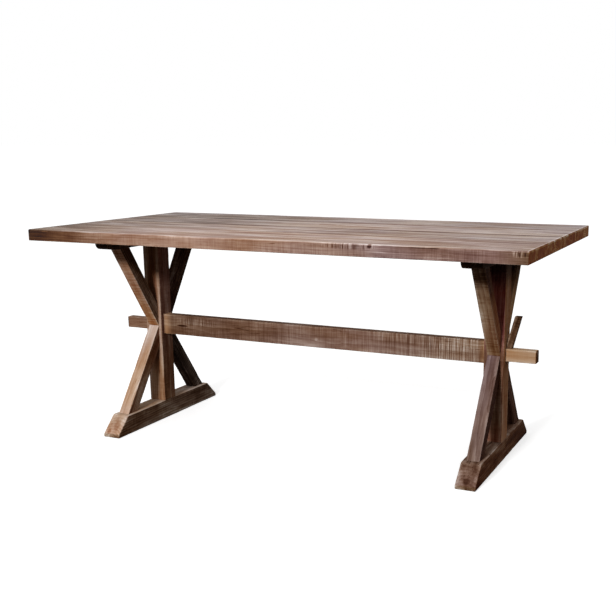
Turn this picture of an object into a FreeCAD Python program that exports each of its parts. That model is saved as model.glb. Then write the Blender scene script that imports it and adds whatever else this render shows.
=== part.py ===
import FreeCAD, Part
import os
import Sketcher

# A trestle dining table of old boards. Two frames carry the top. Each frame is a foot, a post and a
# bearer, with four braces that make an X about the post. One stretcher ties the frames: its tenons
# pass through the posts, and a leaning tusk wedge in each tenon draws the post to its shoulder.
# The origin is on the floor under the middle of the table. X runs along the boards, Y from the
# front edge to the back edge and Z up.

doc = FreeCAD.newDocument("sawbuck_table")

# Driving dimensions, in millimetres and degrees, and shares of other dimensions.
SIZES = [
    ("table_length", 1800, "length of the top along its boards"),
    ("table_width", 900, "width of the top across its boards"),
    ("table_height", 780, "floor to the face of the top"),
    ("top_thickness", 40, "thickness of the boards"),
    ("front_board_share", 0.272, "the front board's share of the width"),
    ("front_middle_board_share", 0.217, "the share of the board behind it"),
    ("back_middle_board_share", 0.25, "the share of the third board; the back board takes the rest"),
    ("top_edge_round", 5, "rounding of the outer arrises of the top"),
    ("spline_thickness", 10, "thickness of the loose tongue in each seam"),
    ("spline_width", 40, "width of the tongue, half in each board"),
    ("spline_end_inset", 60, "how far the tongue stops short of the ends of the top"),
    ("frame_end_inset", 210, "from the end of the top to the middle of a frame"),
    ("foot_edge_inset", 120, "from the long edge of the top to the end of the foot below it"),
    ("foot_width", 70, "width of the foot along the table"),
    ("foot_height", 72, "height of the foot"),
    ("foot_nose", 12, "height of the blunt end below the slope of the foot"),
    ("foot_slope_length", 62, "length of the slope at each end of the foot"),
    ("bearer_edge_inset", 140, "from the long edge of the top to the end of the bearer"),
    ("bearer_width", 70, "width of the bearer along the table"),
    ("bearer_height", 40, "height of the bearer"),
    ("bearer_end_radius", 24, "rounding of the lower corners of the bearer"),
    ("post_width", 70, "side of the square post"),
    ("post_tenon_width", 44, "width of the post's tenons"),
    ("post_tenon_thickness", 28, "thickness of the post's tenons"),
    ("post_foot_tenon_depth", 45, "depth of the post's tenon in the foot"),
    ("post_bearer_tenon_depth", 28, "depth of the post's tenon in the bearer"),
    ("brace_width", 46, "width of a brace, square to its run"),
    ("brace_thickness", 45, "thickness of a brace along the table"),
    ("brace_bearer_inset", 66, "from the end of the bearer to the outer edge of a brace"),
    ("brace_foot_inset", 17, "from the slope of the foot to the outer edge of a brace"),
    ("brace_tenon_thickness", 14, "thickness of the stub tenons of a brace"),
    ("brace_tenon_depth", 14, "depth of the stub tenons of a brace"),
    ("brace_tenon_shoulder", 13, "shoulder at each side of a stub tenon"),
    ("stretcher_level_share", 0.482, "level of the stretcher's tenons as a share of the table's height"),
    ("stretcher_rise", 5, "how much higher the rail's middle lies than that of its tenons"),
    ("stretcher_height", 78, "height of the stretcher"),
    ("stretcher_thickness", 36, "thickness of the stretcher"),
    ("stretcher_tenon_height", 44, "height of the through tenons"),
    ("stretcher_tenon_thickness", 30, "thickness of the through tenons"),
    ("stretcher_tenon_projection", 108, "how far a through tenon stands out of its post"),
    ("stretcher_tenon_round", 4, "rounding of the ends of the through tenons"),
    ("wedge_width", 24, "width of the wedge above its heel, level along the table"),
    ("wedge_thickness", 16, "thickness of the wedge"),
    ("wedge_lean", 14.6, "lean of the wedge away from its post, in degrees"),
    ("wedge_heel", 33, "from the middle of the tenon up to where the wedge leaves its post"),
    ("wedge_rise", 112, "how far the wedge stands above its tenon"),
    ("wedge_drop", 12, "how far the wedge hangs below its tenon"),
    ("wedge_mortise_inset", 5, "how far the wedge's mortise runs inside the post"),
    ("wedge_gap", 0.3, "clearance round the wedge"),
    ("screw_diameter", 5, "shank of the screws that hold the top"),
    ("screw_length", 60, "length of a screw under its head"),
    ("screw_head_diameter", 9, "head of a screw"),
    ("screw_head_height", 3, "height of a screw's head"),
    ("screw_recess", 6, "depth of the recess for a screw's head"),
    ("screw_side_inset", 9, "from the side of the bearer to a screw"),
    ("fit_gap", 0.15, "clearance at each side of a tenon, tongue or screw"),
    ("end_gap", 0.5, "clearance at the end of a tenon, tongue or screw"),
]
sheet = doc.addObject("Spreadsheet::Sheet", "Sizes")
for row, (alias, size, note) in enumerate(SIZES, start=1):
    sheet.set(f"A{row}", note)
    sheet.set(f"B{row}", str(size))
    sheet.setAlias(f"B{row}", alias)
doc.recompute()

# Places that several pieces share, as expressions of the driving dimensions.
TOP_MIDDLE = "(Sizes.table_height - Sizes.top_thickness / 2)"
TOP_UNDERSIDE = "(Sizes.table_height - Sizes.top_thickness)"
BEARER_UNDERSIDE = f"({TOP_UNDERSIDE} - Sizes.bearer_height)"
FRAME_MIDDLE = "(Sizes.table_length / 2 - Sizes.frame_end_inset)"
FOOT_END = "(Sizes.table_width / 2 - Sizes.foot_edge_inset)"
FOOT_SLOPE = f"({FOOT_END} - Sizes.foot_slope_length)"
BEARER_END = "(Sizes.table_width / 2 - Sizes.bearer_edge_inset)"
STRETCHER_LEVEL = "(Sizes.stretcher_level_share * Sizes.table_height)"
POST_FACE = "(Sizes.post_width / 2)"
OUTER_POST_FACE = f"({FRAME_MIDDLE} + {POST_FACE})"
INNER_POST_FACE = f"({FRAME_MIDDLE} - {POST_FACE})"
FRONT_EDGE = "(-Sizes.table_width / 2)"
BACK_EDGE = "(Sizes.table_width / 2)"
FRONT_SEAM = f"({FRONT_EDGE} + Sizes.front_board_share * Sizes.table_width)"
MIDDLE_SEAM = f"({FRONT_SEAM} + Sizes.front_middle_board_share * Sizes.table_width)"
BACK_SEAM = f"({MIDDLE_SEAM} + Sizes.back_middle_board_share * Sizes.table_width)"
SIDES = {"left": "-1", "right": "1"}


def value_of(expression):
    """The number that an expression of the driving dimensions stands for."""
    return float(sheet.evalExpression(expression))


def new_body(label, x="0", z="0"):
    """An empty piece, with its own origin at this place along the table and above the floor."""
    body = doc.addObject("PartDesign::Body", label)
    body.Label = label
    body.setExpression("Placement.Base.x", x)
    body.setExpression("Placement.Base.z", z)
    return body


def new_sketch(body, name, role, level):
    """A sketch on one of the piece's own planes, raised from that plane to a level."""
    sketch = body.newObject("Sketcher::SketchObject", name)
    plane = next(feature for feature in body.Origin.OriginFeatures if feature.Role == role)
    sketch.AttachmentSupport = [(plane, "")]
    sketch.MapMode = "FlatFace"
    sketch.setExpression("AttachmentOffset.Base.z", level)
    return sketch


def tie_point(sketch, geometry, position, place):
    """Ties a point of a sketch to a pair of expressions, measured from the piece's origin."""
    for kind, expression in zip(("DistanceX", "DistanceY"), place):
        rule = Sketcher.Constraint(kind, -1, 1, geometry, position, value_of(expression))
        index = sketch.addConstraint(rule)
        sketch.setExpression(f"Constraints[{index}]", expression)


def draw_outline(sketch, corners):
    """A closed outline of straight lines through corners given as pairs of expressions."""
    points = [FreeCAD.Vector(value_of(across), value_of(up), 0) for across, up in corners]
    count = len(points)
    for index in range(count):
        sketch.addGeometry(Part.LineSegment(points[index], points[(index + 1) % count]))
    for index in range(count):
        sketch.addConstraint(Sketcher.Constraint("Coincident", index, 2, (index + 1) % count, 1))
    for index, corner in enumerate(corners):
        tie_point(sketch, index, 1, corner)


def draw_circles(sketch, centres, diameter):
    """Circles of one diameter about centres given as pairs of expressions."""
    for index, centre in enumerate(centres):
        point = FreeCAD.Vector(value_of(centre[0]), value_of(centre[1]), 0)
        sketch.addGeometry(Part.Circle(point, FreeCAD.Vector(0, 0, 1), value_of(diameter) / 2))
        tie_point(sketch, index, 3, centre)
        rule = sketch.addConstraint(Sketcher.Constraint("Diameter", index, value_of(diameter)))
        sketch.setExpression(f"Constraints[{rule}]", diameter)


def rectangle(low_across, high_across, low_up, high_up):
    """The four corners of a rectangle."""
    return [(low_across, low_up), (high_across, low_up), (high_across, high_up), (low_across, high_up)]


def add_slab(body, name, role, corners, thickness):
    """Adds an outline, thickened evenly to both sides of its plane."""
    sketch = new_sketch(body, name + "_outline", role, "0")
    draw_outline(sketch, corners)
    pad = body.newObject("PartDesign::Pad", name)
    pad.Profile = sketch
    pad.SideType = "Symmetric"
    pad.setExpression("Length", thickness)
    return pad


def cut_slot(body, name, role, corners, thickness):
    """Cuts an outline, thickened evenly to both sides of its plane."""
    sketch = new_sketch(body, name + "_outline", role, "0")
    draw_outline(sketch, corners)
    pocket = body.newObject("PartDesign::Pocket", name)
    pocket.Profile = sketch
    pocket.SideType = "Symmetric"
    pocket.setExpression("Length", thickness)
    return pocket


def drill_up(body, name, centres, diameter, level, depth):
    """Drills round holes upward from a level of the piece."""
    sketch = new_sketch(body, name + "_circles", "XY_Plane", level)
    draw_circles(sketch, centres, diameter)
    pocket = body.newObject("PartDesign::Pocket", name)
    pocket.Profile = sketch
    pocket.Reversed = True
    pocket.setExpression("Length", depth)
    return pocket


def round_edges(body, name, radius, wanted):
    """Rounds the straight edges of the piece so far that a test of their two ends picks."""
    doc.recompute()
    base = body.Tip
    names = []
    for index, edge in enumerate(base.Shape.Edges, start=1):
        if len(edge.Vertexes) == 2 and wanted(edge.Vertexes[0].Point, edge.Vertexes[1].Point):
            names.append(f"Edge{index}")
    if not names:
        raise RuntimeError(f"{body.Label}: no edges found for {name}")
    fillet = body.newObject("PartDesign::Fillet", name)
    fillet.Base = (base, names)
    fillet.setExpression("Radius", radius)
    return fillet


SAME_PLACE = 0.01  # coordinates closer than this are one place, in millimetres


def near(measure, place):
    """Whether two coordinates are one place."""
    return abs(measure - place) < SAME_PLACE


# The top: four boards side by side, kept in line by loose tongues in their seams.

BOARDS = {
    "top_board_front": (FRONT_EDGE, FRONT_SEAM),
    "top_board_front_middle": (FRONT_SEAM, MIDDLE_SEAM),
    "top_board_back_middle": (MIDDLE_SEAM, BACK_SEAM),
    "top_board_back": (BACK_SEAM, BACK_EDGE),
}
SPLINES = {
    "top_spline_front": FRONT_SEAM,
    "top_spline_middle": MIDDLE_SEAM,
    "top_spline_back": BACK_SEAM,
}
SPLINE_END = "(Sizes.table_length / 2 - Sizes.spline_end_inset)"

# Each screw goes up into the middle of its board's seat on the bearer, by turns at either side.
SCREW_PLACES = [
    ("1", f"((-{BEARER_END} + {FRONT_SEAM}) / 2)"),
    ("-1", f"(({FRONT_SEAM} + {MIDDLE_SEAM}) / 2)"),
    ("1", f"(({MIDDLE_SEAM} + {BACK_SEAM}) / 2)"),
    ("-1", f"(({BACK_SEAM} + {BEARER_END}) / 2)"),
]
SCREW_ACROSS = "(Sizes.bearer_width / 2 - Sizes.screw_side_inset)"
SCREW_SEAT = f"({BEARER_UNDERSIDE} + Sizes.screw_recess)"
SCREW_REACH = f"({SCREW_SEAT} + Sizes.screw_length - {TOP_UNDERSIDE})"
SCREW_HOLE = "(Sizes.screw_diameter + 2 * Sizes.fit_gap)"


def make_board(label, low, high, screw):
    """One board, grooved along its seams and bored from below for its screw at each bearer."""
    board = new_body(label, z=TOP_MIDDLE)
    half_length = "(Sizes.table_length / 2)"
    outline = rectangle("-" + half_length, half_length, low, high)
    add_slab(board, label + "_plank", "XY_Plane", outline, "Sizes.top_thickness")

    end = value_of(half_length)
    outer_sides = [value_of(side) for side in (low, high) if side in (FRONT_EDGE, BACK_EDGE)]

    def is_outer_arris(first, last):
        on_end = near(abs(first.x), end) and near(first.x, last.x)
        on_side = any(near(first.y, side) and near(last.y, side) for side in outer_sides)
        upright = not near(first.z, last.z)
        return (on_end and on_side) if upright else (on_end or on_side)

    round_edges(board, label + "_arris", "Sizes.top_edge_round", is_outer_arris)

    groove_end = f"({SPLINE_END} + Sizes.end_gap)"
    groove_reach = "(Sizes.spline_width / 2 + Sizes.end_gap)"
    groove_thickness = "Sizes.spline_thickness + 2 * Sizes.fit_gap"
    for name, seam in SPLINES.items():
        if seam in (low, high):
            outline = rectangle(
                "-" + groove_end, groove_end, f"{seam} - {groove_reach}", f"{seam} + {groove_reach}"
            )
            cut_slot(board, f"{label}_groove_{name}", "XY_Plane", outline, groove_thickness)

    turn, along = screw
    centres = [
        (f"{side} * ({FRAME_MIDDLE} + {turn} * {SCREW_ACROSS})", along)
        for side in SIDES.values()
    ]
    depth = f"{SCREW_REACH} + Sizes.end_gap"
    drill_up(board, label + "_pilots", centres, SCREW_HOLE, "-Sizes.top_thickness / 2", depth)
    return board


def make_spline(label, seam):
    """The loose tongue of one seam."""
    spline = new_body(label, z=TOP_MIDDLE)
    half_width = "Sizes.spline_width / 2"
    outline = rectangle("-" + SPLINE_END, SPLINE_END, f"{seam} - {half_width}", f"{seam} + {half_width}")
    add_slab(spline, label + "_tongue", "XY_Plane", outline, "Sizes.spline_thickness")
    return spline


# The frames. A brace runs from the post, where the outer edges of the upper and the lower brace
# meet at the height of the stretcher, to the bearer or to the foot. Its stub tenons stand square
# to the faces that they enter: level into the post and upright into the bearer or the foot.

BRACE_ENDS = {
    "upper": ("1", BEARER_UNDERSIDE, f"({BEARER_END} - Sizes.brace_bearer_inset)"),
    "lower": ("-1", "Sizes.foot_height", f"({FOOT_SLOPE} - Sizes.brace_foot_inset)"),
}
FACINGS = {"front": "-1", "back": "1"}


class BraceLines:
    """Where one brace lies in its frame, seen along the table."""

    def __init__(self, level, facing):
        self.turn, self.far_height, self.reach = BRACE_ENDS[level]
        self.facing = FACINGS[facing]
        rise = f"({self.far_height} - {STRETCHER_LEVEL})"
        run = f"({self.reach} - {POST_FACE})"
        length = f"sqrt({rise} * {rise} + {run} * {run})"
        self.level_width = f"(Sizes.brace_width * {length} / abs({rise}))"
        self.post_end = f"({STRETCHER_LEVEL} + {self.level_width} * {rise} / {run})"

    def across(self, expression):
        return f"{self.facing} * ({expression})"

    def outline(self):
        return [
            (self.across(self.reach), self.far_height),
            (self.across(POST_FACE), STRETCHER_LEVEL),
            (self.across(POST_FACE), self.post_end),
            (self.across(f"{self.reach} - {self.level_width}"), self.far_height),
        ]

    def post_tenon(self, side_gap="0", end_gap="0"):
        shoulder = f"(Sizes.brace_tenon_shoulder - {side_gap})"
        low = f"{STRETCHER_LEVEL} + {self.turn} * {shoulder}"
        high = f"{self.post_end} - {self.turn} * {shoulder}"
        tip = self.across(f"{POST_FACE} - Sizes.brace_tenon_depth - {end_gap}")
        return rectangle(tip, self.across(POST_FACE), low, high)

    def far_tenon(self, side_gap="0", end_gap="0"):
        shoulder = f"(Sizes.brace_tenon_shoulder - {side_gap})"
        inner = self.across(f"{self.reach} - {self.level_width} + {shoulder}")
        outer = self.across(f"{self.reach} - {shoulder}")
        tip = f"{self.far_height} + {self.turn} * (Sizes.brace_tenon_depth + {end_gap})"
        return rectangle(inner, outer, self.far_height, tip)


FITTED = ("Sizes.fit_gap", "Sizes.end_gap")
BRACE_MORTISE = "Sizes.brace_tenon_thickness + 2 * Sizes.fit_gap"


def frame_place(side):
    """Where the middle of a frame stands along the table."""
    return f"{SIDES[side]} * {FRAME_MIDDLE}"


def post_tenon(low, high, side_gap="0"):
    """A tenon of the post, between two heights."""
    half_width = f"(Sizes.post_tenon_width / 2 + {side_gap})"
    return rectangle("-" + half_width, half_width, low, high)


def make_foot(side):
    """The foot: a rail on the floor with sloped ends, mortised for the post and two braces."""
    label = f"{side}_foot"
    foot = new_body(label, x=frame_place(side))
    profile = [
        ("-" + FOOT_END, "0"),
        (FOOT_END, "0"),
        (FOOT_END, "Sizes.foot_nose"),
        (FOOT_SLOPE, "Sizes.foot_height"),
        ("-" + FOOT_SLOPE, "Sizes.foot_height"),
        ("-" + FOOT_END, "Sizes.foot_nose"),
    ]
    add_slab(foot, label + "_rail", "YZ_Plane", profile, "Sizes.foot_width")
    floor = "Sizes.foot_height - Sizes.post_foot_tenon_depth - Sizes.end_gap"
    mortise = post_tenon(floor, "Sizes.foot_height", "Sizes.fit_gap")
    thickness = "Sizes.post_tenon_thickness + 2 * Sizes.fit_gap"
    cut_slot(foot, label + "_post_mortise", "YZ_Plane", mortise, thickness)
    for facing in FACINGS:
        stub = BraceLines("lower", facing).far_tenon(*FITTED)
        cut_slot(foot, f"{label}_{facing}_mortise", "YZ_Plane", stub, BRACE_MORTISE)
    return foot


def make_bearer(side):
    """The bearer: a rail under the top with rounded lower ends, mortised and bored for its screws."""
    label = f"{side}_bearer"
    bearer = new_body(label, x=frame_place(side))
    profile = rectangle("-" + BEARER_END, BEARER_END, BEARER_UNDERSIDE, TOP_UNDERSIDE)
    add_slab(bearer, label + "_rail", "YZ_Plane", profile, "Sizes.bearer_width")

    def is_lower_corner(first, last):
        at_end = [near(abs(point.y), value_of(BEARER_END)) for point in (first, last)]
        below = [near(point.z, value_of(BEARER_UNDERSIDE)) for point in (first, last)]
        return all(at_end) and all(below)

    round_edges(bearer, label + "_ends", "Sizes.bearer_end_radius", is_lower_corner)
    ceiling = f"{BEARER_UNDERSIDE} + Sizes.post_bearer_tenon_depth + Sizes.end_gap"
    mortise = post_tenon(BEARER_UNDERSIDE, ceiling, "Sizes.fit_gap")
    thickness = "Sizes.post_tenon_thickness + 2 * Sizes.fit_gap"
    cut_slot(bearer, label + "_post_mortise", "YZ_Plane", mortise, thickness)
    for facing in FACINGS:
        stub = BraceLines("upper", facing).far_tenon(*FITTED)
        cut_slot(bearer, f"{label}_{facing}_mortise", "YZ_Plane", stub, BRACE_MORTISE)
    centres = [(f"{SIDES[side]} * {turn} * {SCREW_ACROSS}", along) for turn, along in SCREW_PLACES]
    recess = "Sizes.screw_head_diameter + 2 * Sizes.end_gap"
    drill_up(bearer, label + "_recesses", centres, recess, BEARER_UNDERSIDE, "Sizes.screw_recess")
    drill_up(bearer, label + "_holes", centres, SCREW_HOLE, BEARER_UNDERSIDE, "Sizes.bearer_height")
    return bearer


def make_post(side):
    """The post: tenoned into foot and bearer, mortised for four braces and for the stretcher."""
    label = f"{side}_post"
    post = new_body(label, x=frame_place(side))
    shaft = rectangle("-" + POST_FACE, POST_FACE, "Sizes.foot_height", BEARER_UNDERSIDE)
    add_slab(post, label + "_shaft", "YZ_Plane", shaft, "Sizes.post_width")
    root = post_tenon("Sizes.foot_height - Sizes.post_foot_tenon_depth", "Sizes.foot_height")
    add_slab(post, label + "_foot_tenon", "YZ_Plane", root, "Sizes.post_tenon_thickness")
    crown = post_tenon(BEARER_UNDERSIDE, f"{BEARER_UNDERSIDE} + Sizes.post_bearer_tenon_depth")
    add_slab(post, label + "_bearer_tenon", "YZ_Plane", crown, "Sizes.post_tenon_thickness")
    for level in BRACE_ENDS:
        for facing in FACINGS:
            stub = BraceLines(level, facing).post_tenon(*FITTED)
            cut_slot(post, f"{label}_{level}_{facing}_mortise", "YZ_Plane", stub, BRACE_MORTISE)
    half_width = "(Sizes.stretcher_tenon_thickness / 2 + Sizes.fit_gap)"
    half_height = "(Sizes.stretcher_tenon_height / 2 + Sizes.fit_gap)"
    passage = rectangle(
        "-" + half_width,
        half_width,
        f"{STRETCHER_LEVEL} - {half_height}",
        f"{STRETCHER_LEVEL} + {half_height}",
    )
    cut_slot(post, label + "_through_mortise", "YZ_Plane", passage, "2 * Sizes.post_width")
    return post


def make_brace(side, level, facing):
    """One brace with its two stub tenons."""
    label = f"{side}_{level}_{facing}_brace"
    brace = new_body(label, x=frame_place(side))
    lines = BraceLines(level, facing)
    add_slab(brace, label + "_bar", "YZ_Plane", lines.outline(), "Sizes.brace_thickness")
    thickness = "Sizes.brace_tenon_thickness"
    add_slab(brace, label + "_post_tenon", "YZ_Plane", lines.post_tenon(), thickness)
    add_slab(brace, label + "_far_tenon", "YZ_Plane", lines.far_tenon(), thickness)
    return brace


# The stretcher and its wedges. A wedge leans away from the post. Up to its heel, a little above the
# tenon, its inner face is upright and bears on the post, so there it tapers down to its foot.

WEDGE_SLANT = "tan(Sizes.wedge_lean)"
TENON_TOP = "(Sizes.stretcher_tenon_height / 2)"
WEDGE_TOP = f"({TENON_TOP} + Sizes.wedge_rise)"
WEDGE_FOOT = f"(-{TENON_TOP} - Sizes.wedge_drop)"


def wedge_reach(height):
    """How far the outer face of the wedge is from the post, at a height above the tenon's middle."""
    return f"(Sizes.wedge_width + ({height} - Sizes.wedge_heel) * {WEDGE_SLANT})"


def wedge_outline(turn):
    """The wedge seen from the front, from its post's outer face at the middle of the tenon."""
    gap = "Sizes.wedge_gap"
    places = [
        (gap, WEDGE_FOOT),
        (wedge_reach(WEDGE_FOOT), WEDGE_FOOT),
        (wedge_reach(WEDGE_TOP), WEDGE_TOP),
        (f"{wedge_reach(WEDGE_TOP)} - Sizes.wedge_width + {gap}", WEDGE_TOP),
        (gap, "Sizes.wedge_heel"),
    ]
    return [(f"{turn} * ({across})", up) for across, up in places]


def make_wedge(side):
    """One tusk wedge."""
    label = f"{side}_tusk_wedge"
    turn = SIDES[side]
    wedge = new_body(label, x=f"{turn} * {OUTER_POST_FACE}", z=STRETCHER_LEVEL)
    add_slab(wedge, label + "_blade", "XZ_Plane", wedge_outline(turn), "Sizes.wedge_thickness")
    return wedge


def make_stretcher():
    """The stretcher: a rail between the posts with a tenon through each, slotted for its wedge."""
    stretcher = new_body("stretcher", z=STRETCHER_LEVEL)
    sections = {
        "rail": (
            "Sizes.stretcher_thickness / 2",
            "Sizes.stretcher_rise - Sizes.stretcher_height / 2",
            "Sizes.stretcher_rise + Sizes.stretcher_height / 2",
            INNER_POST_FACE,
        ),
        "tenons": (
            "Sizes.stretcher_tenon_thickness / 2",
            "-" + TENON_TOP,
            TENON_TOP,
            f"({OUTER_POST_FACE} + Sizes.stretcher_tenon_projection)",
        ),
    }
    for name, (half_width, low, high, half_length) in sections.items():
        section = rectangle("-" + half_width, half_width, low, high)
        add_slab(stretcher, "stretcher_" + name, "YZ_Plane", section, f"2 * {half_length}")
    tenon_end = value_of(sections["tenons"][3])

    def is_end_arris(first, last):
        return near(abs(first.x), tenon_end) and near(first.x, last.x)

    round_edges(stretcher, "stretcher_tenon_ends", "Sizes.stretcher_tenon_round", is_end_arris)
    for side, turn in SIDES.items():
        inner = f"{OUTER_POST_FACE} - Sizes.wedge_mortise_inset"
        outer = [
            f"{OUTER_POST_FACE} + {wedge_reach(height)} + Sizes.wedge_gap"
            for height in ("-" + TENON_TOP, TENON_TOP)
        ]
        mortise = [
            (f"{turn} * ({inner})", "-" + TENON_TOP),
            (f"{turn} * ({outer[0]})", "-" + TENON_TOP),
            (f"{turn} * ({outer[1]})", TENON_TOP),
            (f"{turn} * ({inner})", TENON_TOP),
        ]
        width = "Sizes.wedge_thickness + 2 * Sizes.wedge_gap"
        cut_slot(stretcher, f"stretcher_{side}_wedge_mortise", "XZ_Plane", mortise, width)
    return stretcher


# The screws that hold the top, four up through each bearer.


def make_cylinder(name, diameter, height, low):
    """A round bar along Z, from a level of its screw upward."""
    bar = doc.addObject("Part::Cylinder", name)
    bar.setExpression("Radius", f"{diameter} / 2")
    bar.setExpression("Height", height)
    bar.setExpression("Placement.Base.z", low)
    return bar


def make_screws(side):
    """The screws of one bearer, as one group of separate solids."""
    screws = []
    for number, (turn, along) in enumerate(SCREW_PLACES, start=1):
        name = f"{side}_bearer_screw_{number}"
        shank = make_cylinder(name + "_shank", "Sizes.screw_diameter", "Sizes.screw_length", "0")
        head_height = "Sizes.screw_head_height"
        head = make_cylinder(name + "_head", "Sizes.screw_head_diameter", head_height, "-" + head_height)
        screw = doc.addObject("Part::Fuse", name)
        screw.Base = shank
        screw.Tool = head
        across = f"{SIDES[side]} * {turn} * {SCREW_ACROSS}"
        screw.setExpression("Placement.Base.x", f"{frame_place(side)} + {across}")
        screw.setExpression("Placement.Base.y", along)
        screw.setExpression("Placement.Base.z", SCREW_SEAT)
        screws.append(screw)
    group = doc.addObject("Part::Compound", f"{side}_bearer_screws")
    group.Label = f"{side}_bearer_screws"
    group.Links = screws
    return group


# Every piece of the table.

pieces = []
for (label, (low, high)), screw in zip(BOARDS.items(), SCREW_PLACES):
    pieces.append(make_board(label, low, high, screw))
for label, seam in SPLINES.items():
    pieces.append(make_spline(label, seam))
for side in SIDES:
    pieces.append(make_foot(side))
    pieces.append(make_post(side))
    pieces.append(make_bearer(side))
    for level in BRACE_ENDS:
        for facing in FACINGS:
            pieces.append(make_brace(side, level, facing))
    pieces.append(make_screws(side))
    pieces.append(make_wedge(side))
pieces.append(make_stretcher())

doc.recompute()
for item in doc.Objects:
    if "Invalid" in item.State or "Error" in item.State:
        raise RuntimeError(f"{item.Label} did not build: {item.State}")
for piece in pieces:
    if piece.Shape.isNull() or not piece.Shape.isValid():
        raise RuntimeError(f"{piece.Label} has no valid solid")

os.makedirs("parts", exist_ok=True)
for piece in pieces:
    piece.Shape.exportStep(f"parts/{piece.Label}.step")
    print(piece.Label, len(piece.Shape.Solids), round(piece.Shape.Volume / 1000), "cm3")
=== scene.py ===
import math
import random

import bpy
from mathutils import Matrix, Vector, noise


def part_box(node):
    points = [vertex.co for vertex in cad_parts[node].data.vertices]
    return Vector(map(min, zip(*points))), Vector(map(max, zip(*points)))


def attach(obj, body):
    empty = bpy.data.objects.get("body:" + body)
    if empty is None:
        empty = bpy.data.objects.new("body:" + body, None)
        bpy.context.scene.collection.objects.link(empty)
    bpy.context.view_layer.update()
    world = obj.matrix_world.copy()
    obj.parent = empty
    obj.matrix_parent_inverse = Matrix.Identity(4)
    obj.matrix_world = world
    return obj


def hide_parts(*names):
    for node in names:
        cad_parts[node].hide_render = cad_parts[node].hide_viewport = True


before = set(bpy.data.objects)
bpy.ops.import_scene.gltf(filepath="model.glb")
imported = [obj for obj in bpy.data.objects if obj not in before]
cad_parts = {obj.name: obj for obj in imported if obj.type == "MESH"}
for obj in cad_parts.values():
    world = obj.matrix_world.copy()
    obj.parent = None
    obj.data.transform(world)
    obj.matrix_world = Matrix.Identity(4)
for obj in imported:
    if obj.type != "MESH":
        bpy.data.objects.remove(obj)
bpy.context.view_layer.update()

# A trestle dining table of old pine boards, in metres: X along the boards, Y from the front edge to
# the back edge, Z up from the floor. Two frames with crossed braces carry the top, and a stretcher
# with a wedge at each end ties them. Every timber was sawn, sanded over its saw marks and waxed.


# The feet. Each is a rail of pine that lies on the floor, sloped at both ends down to a blunt nose.
# It was cut from an old beam, so its sides are brown, and its top and slopes are scuffed paler. On the
# left foot the top is paler still, painted light where the table's top shades it. The post and two
# braces stand in mortises in its top.


def linear(hex_colour):
    """The linear colour of an sRGB hex value."""
    parts = [int(hex_colour[start:start + 2], 16) / 255 for start in (1, 3, 5)]
    return [p / 12.92 if p <= 0.04045 else ((p + 0.055) / 1.055) ** 2.4 for p in parts] + [1.0]


def add_node(tree, kind, inputs=(), **settings):
    """Adds a node; its inputs, by name or in order, are values or the outputs of other nodes."""
    made = tree.nodes.new("ShaderNode" + kind)
    for option, choice in settings.items():
        setattr(made, option, choice)
    for socket, source in inputs.items() if isinstance(inputs, dict) else enumerate(inputs):
        if isinstance(source, bpy.types.NodeSocket):
            tree.links.new(source, made.inputs[socket])
        else:
            made.inputs[socket].default_value = source
    return made


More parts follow.
